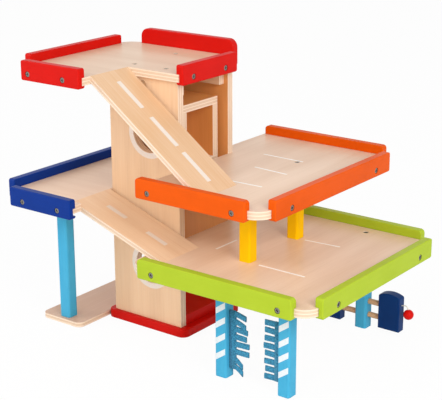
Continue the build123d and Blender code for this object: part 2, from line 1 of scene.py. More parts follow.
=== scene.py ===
"""Toy parking garage with a lift, dressed for rendering.

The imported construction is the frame: its plywood, painted beech and steel nodes keep their shape and get
their finishes here. The painted road markings, the felt of the car wash and the hose cord are built here.
Lengths are in metres unless a name says mm.
"""

from __future__ import annotations

import json
import logging
import math
import random
from collections.abc import Iterable, Sequence
from dataclasses import dataclass, field
from enum import Enum

import bmesh
import bpy
from mathutils import Matrix, Vector, noise

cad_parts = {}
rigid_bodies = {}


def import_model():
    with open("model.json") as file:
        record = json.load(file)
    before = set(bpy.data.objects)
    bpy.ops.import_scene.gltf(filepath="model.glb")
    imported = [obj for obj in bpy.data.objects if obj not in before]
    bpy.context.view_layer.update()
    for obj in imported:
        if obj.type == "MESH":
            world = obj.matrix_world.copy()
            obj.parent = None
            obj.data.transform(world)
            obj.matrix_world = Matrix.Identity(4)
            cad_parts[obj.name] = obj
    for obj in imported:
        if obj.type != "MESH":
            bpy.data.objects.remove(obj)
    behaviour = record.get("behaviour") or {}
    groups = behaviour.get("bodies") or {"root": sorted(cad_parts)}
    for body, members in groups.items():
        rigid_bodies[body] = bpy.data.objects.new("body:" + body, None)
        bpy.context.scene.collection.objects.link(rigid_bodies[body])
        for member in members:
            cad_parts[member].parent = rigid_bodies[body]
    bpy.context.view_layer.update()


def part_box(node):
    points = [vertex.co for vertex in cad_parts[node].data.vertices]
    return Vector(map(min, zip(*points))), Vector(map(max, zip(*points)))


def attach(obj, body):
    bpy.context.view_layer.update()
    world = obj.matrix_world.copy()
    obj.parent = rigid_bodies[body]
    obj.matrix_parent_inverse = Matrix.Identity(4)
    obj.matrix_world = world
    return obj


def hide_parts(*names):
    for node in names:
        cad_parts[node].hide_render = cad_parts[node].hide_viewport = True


MM = 0.001
GARAGE = "garage"
LOG = logging.getLogger("garage")

Triple = tuple[float, float, float]

# A surface counts as facing an axis when the cosine of the angle between them is over this.
FACING = 0.6

# Painted shade: a surface in a gap narrower than the reach is darkened, from the first share of open
# surroundings down to the second.
GAP_REACH = 1.4 * MM
GAP_OPEN = 0.65
GAP_CLOSED = 0.3
GAP_STRENGTH = 0.9
GAP_SHADE_COLOUR = "#1C1410"
GAP_SAMPLES = 8


class Across(Enum):
    """An axis of the frame, for the way a sheet faces or the way a grain runs."""

    X = (1.0, 0.0, 0.0)
    Y = (0.0, 1.0, 0.0)
    Z = (0.0, 0.0, 1.0)


def linear(code: str) -> tuple[float, float, float, float]:
    """Turn an sRGB hex colour into linear RGBA.

    Args:
        code: Six hex digits after a hash sign.

    Returns:
        The linear colour with an alpha of one.
    """
    channels = [int(code[start : start + 2], 16) / 255 for start in (1, 3, 5)]
    bent = [c / 12.92 if c <= 0.04045 else ((c + 0.055) / 1.055) ** 2.4 for c in channels]
    return (bent[0], bent[1], bent[2], 1.0)


def add_node(
    tree: bpy.types.NodeTree, kind: str, inputs: dict[int | str, object] | None = None, **settings: object
) -> bpy.types.Node:
    """Add one shader node with its settings and links.

    Args:
        tree: The material's node tree.
        kind: The node's type, without its ShaderNode prefix.
        inputs: For each socket, a value or the output socket that feeds it.
        settings: Properties of the node itself.

    Returns:
        The new node.
    """
    node = tree.nodes.new("ShaderNode" + kind)
    for name, value in settings.items():
        setattr(node, name, value)
    for socket, value in (inputs or {}).items():
        if isinstance(value, bpy.types.NodeSocket):
            tree.links.new(value, node.inputs[socket])
        else:
            node.inputs[socket].default_value = value
    return node


def maths(tree: bpy.types.NodeTree, operation: str, *values: object) -> bpy.types.NodeSocket:
    """Result socket of one arithmetic node on the given values or sockets."""
    return add_node(tree, "Math", dict(enumerate(values)), operation=operation).outputs[0]


def dot(tree: bpy.types.NodeTree, vector: bpy.types.NodeSocket, axis: Sequence[float]) -> bpy.types.NodeSocket:
    """Socket with the length of a vector along a fixed axis."""
    node = add_node(tree, "VectorMath", {0: vector, 1: tuple(axis)}, operation="DOT_PRODUCT")
    return node.outputs["Value"]


def blend(
    tree: bpy.types.NodeTree, factor: object, first: object, second: object, mode: str = "MIX"
) -> bpy.types.NodeSocket:
    """Colour socket that goes from the first colour to the second with the factor."""
    node = add_node(tree, "Mix", {0: factor, 6: first, 7: second}, data_type="RGBA", blend_type=mode)
    return node.outputs[2]


def stretched_noise(
    tree: bpy.types.NodeTree, parts: Iterable[tuple[bpy.types.NodeSocket, float]], detail: float, rough: float
) -> bpy.types.NodeSocket:
    """Noise whose features have a size of their own along each of three directions.

    Args:
        tree: The material's node tree.
        parts: For each direction, the position along it and the feature's size in mm.
        detail: Octaves of the noise.
        rough: How strong the finer octaves are.

    Returns:
        The noise value socket.
    """
    scaled = [maths(tree, "MULTIPLY", place, 1 / (size * MM)) for place, size in parts]
    vector = add_node(tree, "CombineXYZ", dict(enumerate(scaled))).outputs[0]
    inputs = {"Vector": vector, "Scale": 1.0, "Detail": detail, "Roughness": rough}
    return add_node(tree, "TexNoise", inputs).outputs[0]


def spread(tree: bpy.types.NodeTree, value: object, low: float, high: float) -> bpy.types.NodeSocket:
    """Map the range low to high onto nought to one, without going past either."""
    return add_node(tree, "MapRange", {0: value, 1: low, 2: high}, clamp=True).outputs[0]


def even_noise(
    tree: bpy.types.NodeTree, place: bpy.types.NodeSocket, size: float, detail: float, distortion: float = 0.0
) -> bpy.types.NodeSocket:
    """Noise with features of one size, in mm, in every direction."""
    inputs = {"Vector": place, "Scale": 1 / (size * MM), "Detail": detail, "Distortion": distortion}
    return add_node(tree, "TexNoise", inputs).outputs[0]


def along_grain(
    tree: bpy.types.NodeTree, place: bpy.types.NodeSocket, grain: Triple
) -> list[bpy.types.NodeSocket]:
    """Position along the grain, and in the two directions across it."""
    run = Vector(grain)
    side = run.orthogonal().normalized()
    return [dot(tree, place, axis) for axis in (run, side, run.cross(side))]


def tinted(
    tree: bpy.types.NodeTree, base: object, tint: str, value: object, low: float, high: float, share: float
) -> bpy.types.NodeSocket:
    """Tint a colour where a value goes from low to high.

    Args:
        tree: The material's node tree.
        base: The colour that is tinted, or its socket.
        tint: The tint's hex colour.
        value: The socket that says where the tint lies.
        low: The value at which the tint starts.
        high: The value at which it is strongest, above or below low.
        share: How much of the colour is the tint at its strongest.

    Returns:
        The colour socket.
    """
    factor = maths(tree, "MULTIPLY", spread(tree, value, low, high), share)
    return blend(tree, factor, base, linear(tint))


def painted_gap_shade(tree: bpy.types.NodeTree, colour: bpy.types.NodeSocket) -> bpy.types.NodeSocket:
    """Darken a colour with painted shade where the surface lies in a gap or recess."""
    cover = add_node(tree, "AmbientOcclusion", {"Distance": GAP_REACH}, samples=GAP_SAMPLES).outputs["AO"]
    return tinted(tree, colour, GAP_SHADE_COLOUR, cover, GAP_OPEN, GAP_CLOSED, GAP_STRENGTH)


def relief(
    tree: bpy.types.NodeTree, shader: bpy.types.Node, height: bpy.types.NodeSocket, strength: float, depth: float
) -> None:
    """Give the surface a fine relief.

    Args:
        tree: The material's node tree.
        shader: The shader that gets it.
        height: The socket with the relief's height, from nought to one.
        strength: How much of it shows.
        depth: The relief's full height in mm.
    """
    bump = add_node(tree, "Bump", {"Strength": strength, "Distance": depth * MM, "Height": height})
    tree.links.new(bump.outputs[0], shader.inputs["Normal"])


def seen_directly(tree: bpy.types.NodeTree) -> bpy.types.NodeSocket:
    """One for what the camera sees, also by reflection, and nought for light that scatters."""
    path = add_node(tree, "LightPath")
    return maths(tree, "MAXIMUM", path.outputs["Is Camera Ray"], path.outputs["Is Glossy Ray"])


class Finish:
    """What a piece is made of and how its surface was made."""

    name: str

    def draw(self, tree: bpy.types.NodeTree, shader: bpy.types.Node) -> None:
        """Add the finish's nodes in front of the shader."""
        raise NotImplementedError

    def material(self) -> bpy.types.Material:
        """The finish as a material, made once for each different finish."""
        found = bpy.data.materials.get(self.name)
        if found:
            return found
        made = bpy.data.materials.new(self.name)
        made.use_nodes = True
        self.draw(made.node_tree, made.node_tree.nodes["Principled BSDF"])
        return made


@dataclass(frozen=True)
class BirchPlywood(Finish):
    """Birch plywood, rotary cut, sanded and clear lacquered.

    The faces are pale and silky with long faint grain; every cut edge shows the plies as light and dark
    lines.

    Attributes:
        name: The material's name.
        face: Colour of the faces.
        through: Direction from face to face.
        grain: Direction of the face grain.
        middle: Where the sheet's middle lies along through.
        thickness: From face to face.
        plies: Number of veneers.
        deep: Colour of the grain lines.
        pale: Colour between them.
        end_pale: Edge colour of the plies that run along the edge.
        end_dark: Edge colour of the plies that end there.
        end_pore: Colour of the pores in both.
        glue: Colour of the glue lines.
        painted_shade: Painted shade, a tint multiplied into the one face that lies in shade inside the tower or
            the cabin, or nothing.
        painted_shade_side: Which face gets the painted shade, 1 or -1 along through.
    """

    name: str
    face: str
    through: Triple
    grain: Triple
    middle: float
    thickness: float
    plies: int = 5
    deep: str = "#D0A884"
    pale: str = "#F2DCC4"
    end_pale: str = "#EFD8C0"
    end_dark: str = "#CDA57E"
    end_pore: str = "#D2A980"
    glue: str = "#94694A"
    painted_shade: str = ""
    painted_shade_side: float = 0.0

    def draw(self, tree: bpy.types.NodeTree, shader: bpy.types.Node) -> None:
        """Add grain on the faces, plies on the edges, and the lacquer's soft gloss."""
        where = add_node(tree, "TexCoord")
        place, facing = where.outputs["Object"], where.outputs["Normal"]
        sideways = Vector(self.through).cross(Vector(self.grain))
        along = dot(tree, place, self.grain)
        across = dot(tree, place, sideways)
        depth = dot(tree, place, self.through)
        # Grain lines are some 2 mm apart and run 70 mm; the broad figure of a peeled veneer is 26 mm wide.
        lines = stretched_noise(tree, ((along, 70), (across, 2.0), (depth, 30)), 5, 0.62)
        figure = stretched_noise(tree, ((along, 210), (across, 26), (depth, 60)), 3, 0.5)
        pores = stretched_noise(tree, ((along, 7), (across, 0.5), (depth, 5)), 2, 0.5)
        warm = blend(tree, spread(tree, figure, 0.36, 0.66), linear(self.face), linear(self.deep))
        warm = blend(tree, 0.34, linear(self.face), warm)
        light = tinted(tree, warm, self.pale, lines, 0.5, 0.76, 0.25)
        lined = tinted(tree, light, self.deep, lines, 0.47, 0.2, 0.3)
        flecked = tinted(tree, lined, self.deep, pores, 0.62, 0.74, 0.22)
        # Counted from one face to the other, every second ply shows its dark end grain.
        start = self.middle - self.thickness / 2
        level = maths(tree, "MULTIPLY", maths(tree, "SUBTRACT", depth, start), self.plies / self.thickness)
        wobble = stretched_noise(tree, ((along, 30), (across, 30), (depth, 3)), 2, 0.5)
        level = maths(tree, "ADD", level, maths(tree, "MULTIPLY_ADD", wobble, 0.16, -0.08))
        odd = maths(tree, "GREATER_THAN", maths(tree, "FLOORED_MODULO", level, 2.0), 1.0)
        seam = maths(tree, "PINGPONG", level, 0.5)
        joint = spread(tree, seam, 0.13, 0.0)
        end_pores = stretched_noise(tree, ((along, 1.1), (across, 1.1), (depth, 0.6)), 3, 0.6)
        end = blend(tree, maths(tree, "MULTIPLY", odd, 0.45), linear(self.end_pale), linear(self.end_dark))
        end = blend(tree, maths(tree, "MULTIPLY", joint, 0.5), end, linear(self.glue))
        end = tinted(tree, end, self.end_pore, end_pores, 0.5, 0.75, 0.2)
        # Painted shade: the face that lies in shade inside the tower or cabin is multiplied by a darker, warmer
        # tint.
        if self.painted_shade:
            toward = dot(tree, facing, Vector(self.through) * self.painted_shade_side)
            on_painted_shade_face = maths(tree, "GREATER_THAN", toward, FACING)
            painted_shade_colour = blend(tree, 1.0, flecked, linear(self.painted_shade), "MULTIPLY")
            flecked = blend(tree, on_painted_shade_face, flecked, painted_shade_colour)
        flat = maths(tree, "ABSOLUTE", dot(tree, facing, self.through))
        on_face = maths(tree, "GREATER_THAN", flat, FACING)
        tree.links.new(blend(tree, on_face, end, flecked), shader.inputs["Base Color"])
        tree.links.new(maths(tree, "MULTIPLY_ADD", lines, 0.16, 0.26), shader.inputs["Roughness"])
        shader.inputs["Specular IOR Level"].default_value = 0.35
        relief(tree, shader, lines, 0.12, 0.15)


@dataclass(frozen=True)
class SatinPaint(Finish):
    """Satin lacquer paint on beech: even colour with a soft gloss, and a trace of grain under it."""

    name: str
    colour: str
    shade: str
    grain: Triple
    rough: float = 0.38
    unevenness: float = 0.14
    gloss: float = 0.1

    def draw(self, tree: bpy.types.NodeTree, shader: bpy.types.Node) -> None:
        """Add the paint's slight unevenness, the grain that telegraphs through, and the gloss.

        Narrow gaps, such as the bore round a screw's head, are darkened with painted shade.
        """
        parts = along_grain(tree, add_node(tree, "TexCoord").outputs["Object"], self.grain)
        # Raised grain under paint is about 1 mm wide and 40 mm long; the roller leaves a 0.5 mm texture.
        grain = stretched_noise(tree, zip(parts, (40, 1.0, 1.0)), 4, 0.6)
        peel = stretched_noise(tree, zip(parts, (0.5, 0.5, 0.5)), 2, 0.5)
        cloud = stretched_noise(tree, zip(parts, (34, 20, 20)), 3, 0.55)
        mottled = tinted(tree, linear(self.colour), self.shade, cloud, 0.4, 0.72, 0.3)
        lined = tinted(tree, mottled, self.shade, grain, 0.52, 0.8, 0.3)
        # Painted shade: the colour is darkened in narrow gaps and recesses.
        tree.links.new(painted_gap_shade(tree, lined), shader.inputs["Base Color"])
        # The cloud has a mean of a half, so the roughness varies evenly about its own value.
        uneven = maths(tree, "MULTIPLY_ADD", cloud, self.unevenness, self.rough - self.unevenness / 2)
        tree.links.new(uneven, shader.inputs["Roughness"])
        shader.inputs["Specular IOR Level"].default_value = self.gloss
        relief(tree, shader, maths(tree, "MULTIPLY_ADD", peel, 0.4, grain), 0.16, 0.12)


@dataclass(frozen=True)
class TurnedBeech(Finish):
    """Bare beech dowel: pinkish tan, with short dark flecks along the grain."""

    name: str
    grain: Triple
    colour: str = "#D8AE84"
    fleck: str = "#A87249"

    def draw(self, tree: bpy.types.NodeTree, shader: bpy.types.Node) -> None:
        """Add the flecks and the dry, sanded surface."""
        parts = along_grain(tree, add_node(tree, "TexCoord").outputs["Object"], self.grain)
        # Beech rays show as flecks about 3 mm long and 0.4 mm wide.
        flecks = stretched_noise(tree, zip(parts, (3.0, 0.4, 0.4)), 2, 0.5)
        tone = stretched_noise(tree, zip(parts, (30, 3, 3)), 3, 0.5)
        base = blend(tree, maths(tree, "MULTIPLY", tone, 0.4), linear(self.colour), linear(self.fleck))
        colour = tinted(tree, base, self.fleck, flecks, 0.56, 0.72, 0.6)
        tree.links.new(colour, shader.inputs["Base Color"])
        shader.inputs["Roughness"].default_value = 0.55
        relief(tree, shader, flecks, 0.15, 0.1)


@dataclass(frozen=True)
class WoolFelt(Finish):
    """Pressed wool felt: matte and fibrous, with a dusty sheen at grazing angles."""

    name: str = "wool_felt"
    colour: str = "#3A96BC"
    shade: str = "#115778"
    dust: str = "#8CC4DA"

    def draw(self, tree: bpy.types.NodeTree, shader: bpy.types.Node) -> None:
        """Add matted fibres and the sheen."""
        place = add_node(tree, "TexCoord").outputs["Object"]
        # Fibre tufts of pressed felt are up to 1.6 mm across; single fibres are drawn at 0.25 mm, ten times
        # too coarse, so that they show.
        tufts = even_noise(tree, place, 1.6, 4.0)
        fibres = even_noise(tree, place, 0.25, 3.0, 1.5)
        mixed = maths(tree, "MULTIPLY_ADD", fibres, 0.5, maths(tree, "MULTIPLY", tufts, 0.5))
        colour = blend(tree, spread(tree, mixed, 0.42, 0.57), linear(self.shade), linear(self.colour))
        tree.links.new(colour, shader.inputs["Base Color"])
        shader.inputs["Roughness"].default_value = 0.95
        shader.inputs["Sheen Weight"].default_value = 0.35
        shader.inputs["Sheen Roughness"].default_value = 0.6
        shader.inputs["Sheen Tint"].default_value = linear(self.dust)
        relief(tree, shader, mixed, 0.6, 0.3)


@dataclass(frozen=True)
class ZincSteel(Finish):
    """Zinc-plated screw steel: grey metal with the fine clouds of its plating."""

    name: str = "zinc_steel"
    colour: str = "#A5A29A"
    shade: str = "#76736E"

    def draw(self, tree: bpy.types.NodeTree, shader: bpy.types.Node) -> None:
        """Add the plating's clouding, painted shade in the recesses, and the gloss."""
        place = add_node(tree, "TexCoord").outputs["Object"]
        # Plating crystals show as 0.6 mm clouds.
        clouds = even_noise(tree, place, 0.6, 3.0)
        plating = blend(tree, clouds, linear(self.colour), linear(self.shade))
        # Painted shade darkens the cross recess and the rim of the head in its bore.
        tree.links.new(painted_gap_shade(tree, plating), shader.inputs["Base Color"])
        tree.links.new(maths(tree, "MULTIPLY_ADD", clouds, 0.2, 0.3), shader.inputs["Roughness"])
        shader.inputs["Metallic"].default_value = 1.0


@dataclass(frozen=True)
class BraidedCord(Finish):
    """Thin braided polyester cord, off-white with a slight sheen."""

    name: str = "braided_cord"
    colour: str = "#F4F0E6"
    shade: str = "#C9C2B0"

    def draw(self, tree: bpy.types.NodeTree, shader: bpy.types.Node) -> None:
        """Add the braid's small diamonds."""
        place = add_node(tree, "TexCoord").outputs["Object"]
        # A braid on a 1 mm cord repeats about every 0.7 mm.
        inputs = {"Vector": place, "Scale": 1 / (0.7 * MM)}
        braid = add_node(tree, "TexVoronoi", inputs, feature="SMOOTH_F1").outputs["Distance"]
        colour = blend(tree, spread(tree, braid, 0.1, 0.6), linear(self.colour), linear(self.shade))
        tree.links.new(colour, shader.inputs["Base Color"])
        shader.inputs["Roughness"].default_value = 0.7
        relief(tree, shader, braid, 0.5, 0.2)


@dataclass(frozen=True)
class ScreenPrint(Finish):
    """White screen-printed ink on wood: thin, matte, a little see-through in spots."""

    name: str
    ink: str
    under: str
    wear: float

    def draw(self, tree: bpy.types.NodeTree, shader: bpy.types.Node) -> None:
        """Add thin spots where the ground shows through the ink."""
        place = add_node(tree, "TexCoord").outputs["Object"]
        # Ink breaks up in spots of about 1.5 mm.
        spots = even_noise(tree, place, 1.5, 4.0)
        colour = tinted(tree, linear(self.ink), self.under, spots, 0.45, 0.75, self.wear)
        tree.links.new(colour, shader.inputs["Base Color"])
        shader.inputs["Roughness"].default_value = 0.6
        relief(tree, shader, spots, 0.1, 0.05)


def dress(node: str, finish: Finish) -> None:
    """Give a construction node its finish."""
    piece = bpy.data.objects[node]
    piece.data.materials.clear()
    piece.data.materials.append(finish.material())
    LOG.info("dressed %s in %s", node, finish.name)


def make_piece(
    name: str, mesh: bmesh.types.BMesh, finish: Finish, body: str = GARAGE, smooth: bool = False
) -> bpy.types.Object:
    """Turn a finished mesh into a piece that rides on a body.

    Args:
        name: The piece's name.
        mesh: Its mesh, in the frame; it is freed here.
        finish: Its finish.
        body: The body it rides on.
        smooth: True for rounded forms.

    Returns:
        The new object.
    """
    data = bpy.data.meshes.new(name)
    bmesh.ops.recalc_face_normals(mesh, faces=mesh.faces)
    mesh.to_mesh(data)
    mesh.free()
    data.materials.append(finish.material())
    if smooth:
        data.polygons.foreach_set("use_smooth", [True] * len(data.polygons))
    piece = bpy.data.objects.new(name, data)
    bpy.context.scene.collection.objects.link(piece)
    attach(piece, body)
    LOG.info("built %s on %s", name, body)
    return piece


# ---- plywood ----


@dataclass
class PlywoodSheets:
    """Every plywood piece, each with the way it faces and the way its grain runs.

    The red deck's face is a little darker than the face of the other levels, and the ground plank's face is
    darker still with painted shade.
    """

    red_deck_face: str = "#E6C7AB"
    level_face: str = "#EFD2B8"
    ramp_deep: str = "#D29E68"
    wall_face: str = "#EFC9A2"
    # The ground plank's face is darkened with painted shade.
    plank_shaded_face: str = "#D3AE96"
    thin_plies: int = 3
    thick_plies: int = 5
    ramp_thickness: float = 6 * MM
    ramp_faces: dict[str, str] = field(
        default_factory=lambda: {"upper_ramp": "#E4BE98", "lower_ramp": "#F2D3B2"}
    )
    levels: dict[str, Across] = field(
        default_factory=lambda: {
            "red_deck": Across.X,
            "orange_deck": Across.Y,
            "green_deck": Across.Y,
            "blue_deck": Across.X,
            "lift_roof": Across.X,
            "lift_floor": Across.X,
        }
    )
    walls: dict[str, Across] = field(
        default_factory=lambda: {
            "tower_front_wall": Across.Z,
            "tower_back_wall": Across.Z,
            "lift_front_panel": Across.Z,
            "lift_back_panel": Across.Z,
            "front_cleat": Across.X,
            "back_cleat": Across.X,
            "front_guide": Across.Z,
            "back_guide": Across.Z,
        }
    )
    # For each sheet with a face in shade inside the tower: the painted shade's tint, and which face gets it.
    painted_shade: dict[str, tuple[str, float]] = field(
        default_factory=lambda: {
            "tower_back_wall": ("#F6C890", -1.0),
            "lift_back_panel": ("#F0BE80", -1.0),
            "lift_front_panel": ("#F0BE80", 1.0),
            "lift_roof": ("#FFD08C", 1.0),
        }
    )

    def flat(self, node: str, across: Across, grain: Across, face: str, plies: int) -> None:
        """Dress one sheet that lies square to the frame."""
        low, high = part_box(node)
        way = Vector(across.value)
        middle, thickness = (low + high).dot(way) / 2, (high - low).dot(way)
        tint, side = self.painted_shade.get(node, ("", 0.0))
        finish = BirchPlywood(
            f"birch_{node}",
            face,
            across.value,
            grain.value,
            middle,
            thickness,
            plies,
            painted_shade=tint,
            painted_shade_side=side,
        )
        dress(node, finish)

    def sloping(self, node: str, face: str) -> None:
        """Dress a ramp, whose grain runs down the slope."""
        low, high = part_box(node)
        down = Vector((high.x - low.x, 0, low.z - high.z)).normalized()
        upward = Vector((-down.z, 0, down.x))
        top_height = Vector((low.x, 0, high.z)).dot(upward)
        finish = BirchPlywood(
            f"birch_{node}",
            face,
            tuple(upward),
            tuple(down),
            top_height - self.ramp_thickness / 2,
            self.ramp_thickness,
            self.thin_plies,
            deep=self.ramp_deep,
        )
        dress(node, finish)

    def build(self) -> None:
        """Dress all the sheets."""
        for node, grain in self.levels.items():
            face = self.red_deck_face if node == "red_deck" else self.level_face
            self.flat(node, Across.Z, grain, face, self.thick_plies)
        for node, grain in self.walls.items():
            self.flat(node, Across.Y, grain, self.wall_face, self.thick_plies)
        self.flat("ground_plank", Across.Z, Across.Y, self.plank_shaded_face, self.thin_plies)
        for node, face in self.ramp_faces.items():
            self.sloping(node, face)


# ---- painted wood ----


@dataclass
class PaintedWood:
    """Rails, pillars, pumps, base and knobs under satin paint, grain along each piece.

    Attributes:
        paints: For each paint its colour, and its shade where it is thicker.
        rail_grains: For each side of a deck, the way its rail runs.
        pillars: The paint of each pillar.
    """

    paints: dict[str, tuple[str, str]] = field(
        default_factory=lambda: {
            "red": ("#CE1006", "#B40A03"),
            "orange": ("#E05500", "#C64900"),
            "green": ("#A9BE2D", "#99AF1F"),
            "blue": ("#063286", "#042870"),
            "navy": ("#023068", "#012552"),
            "light_blue": ("#48A9CE", "#2B93BE"),
            "yellow": ("#FDC800", "#EEB000"),
        }
    )
    rail_grains: dict[str, Across] = field(
        default_factory=lambda: {"front": Across.X, "back": Across.X, "left": Across.Y, "right": Across.Y}
    )
    pillars: dict[str, str] = field(
        default_factory=lambda: {
            "blue_deck_pillar": "light_blue",
            "wash_left_pillar": "light_blue",
            "wash_right_pillar": "light_blue",
            "pump_pillar": "light_blue",
            "front_yellow_pillar": "yellow",
            "back_yellow_pillar": "yellow",
        }
    )

    def paint(self, node: str, colour: str, grain: Across) -> None:
        """Paint one node; nodes of one colour and grain share a material."""
        tint, shade = self.paints[colour]
        dress(node, SatinPaint(f"paint_{colour}_{grain.name.lower()}", tint, shade, grain.value))

    def build(self) -> None:
        """Paint every rail, pillar and small part; not every deck has a rail on every side."""
        nodes = {o.name for o in bpy.data.objects}
        for colour in ("red", "orange", "green", "blue"):
            for side, grain in self.rail_grains.items():
                if f"{colour}_{side}_rail" in nodes:
                    self.paint(f"{colour}_{side}_rail", colour, grain)
        for node, colour in self.pillars.items():
            self.paint(node, colour, Across.Z)
        for node in ("base_plate", "shaft_floor"):
            self.paint(node, "red", Across.X)
        for node in ("fuel_pump_left", "fuel_pump_right"):
            self.paint(node, "navy", Across.Z)
        for node in ("crank_arm", "crank_knob", "hose_bead"):
            self.paint(node, "red", Across.Y)
        dress("winding_axle", TurnedBeech("beech_along_y", Across.Y.value))
        dress("pump_dowels", TurnedBeech("beech_along_x", Across.X.value))


def dress_screws() -> None:
    """Give every screw, and the cord eye, its zinc plating."""
    for node in ("red_screws", "orange_screws", "green_screws", "blue_screws", "lift_cord_eye"):
        dress(node, ZincSteel())


# ---- painted markings ----


@dataclass
class Ink:
    """A layer of printed ink that lies on a surface of the garage, a hair above it.

    Attributes:
        thickness: Of the layer.
        lift: The gap under it, which keeps the two surfaces apart.
        corner: Radius at the corners of a bar.
        corner_points: Points on each of those corners.
    """

    thickness: float = 0.09 * MM
    lift: float = 0.01 * MM
    corner: float = 0.6 * MM
    corner_points: int = 4

    def layer(self, outline: Sequence[Vector], up: Vector, inner: Sequence[Vector] = ()) -> bmesh.types.BMesh:
        """A thin prism over an outline, with a matching hole if inner is given.

        Args:
            outline: Points on the surface, in order.
            up: The surface's outward normal.
            inner: The hole's points, as many as the outline has.

        Returns:
            The prism's mesh.
        """
        mesh = bmesh.new()
        bottom, top = up * self.lift, up * (self.lift + self.thickness)
        rims = [
            [mesh.verts.new(point + height) for point in ring]
            for ring in (outline, inner)
            for height in (bottom, top)
        ]
        count = len(outline)
        for i in range(count):
            j = (i + 1) % count
            mesh.faces.new((rims[0][i], rims[0][j], rims[1][j], rims[1][i]))
            if inner:
                mesh.faces.new((rims[2][j], rims[2][i], rims[3][i], rims[3][j]))
                mesh.faces.new((rims[1][i], rims[1][j], rims[3][j], rims[3][i]))
                mesh.faces.new((rims[0][j], rims[0][i], rims[2][i], rims[2][j]))
        if not inner:
            mesh.faces.new(rims[1])
            mesh.faces.new(list(reversed(rims[0])))
        return mesh

    def bar(self, start: Vector, end: Vector, width: float, up: Vector) -> bmesh.types.BMesh:
        """A straight stroke with slightly rounded corners."""
        run = end - start
        length = run.length
        run.normalize()
        side = up.cross(run).normalized()
        points = []
        corners = ((length, 0.5), (length, -0.5), (0.0, -0.5), (0.0, 0.5))
        for index, (along, half) in enumerate(corners):
            centre_along = along + (-self.corner if along else self.corner)
            centre_side = half * (width - 2 * self.corner)
            first = math.pi / 2 - index * math.pi / 2
            for step in range(self.corner_points):
                turn = first - step * math.pi / 2 / (self.corner_points - 1)
                offset_along = centre_along + self.corner * math.cos(turn)
                offset_side = centre_side + self.corner * math.sin(turn)
                points.append(start + run * offset_along + side * offset_side)
        return self.layer(points, up)


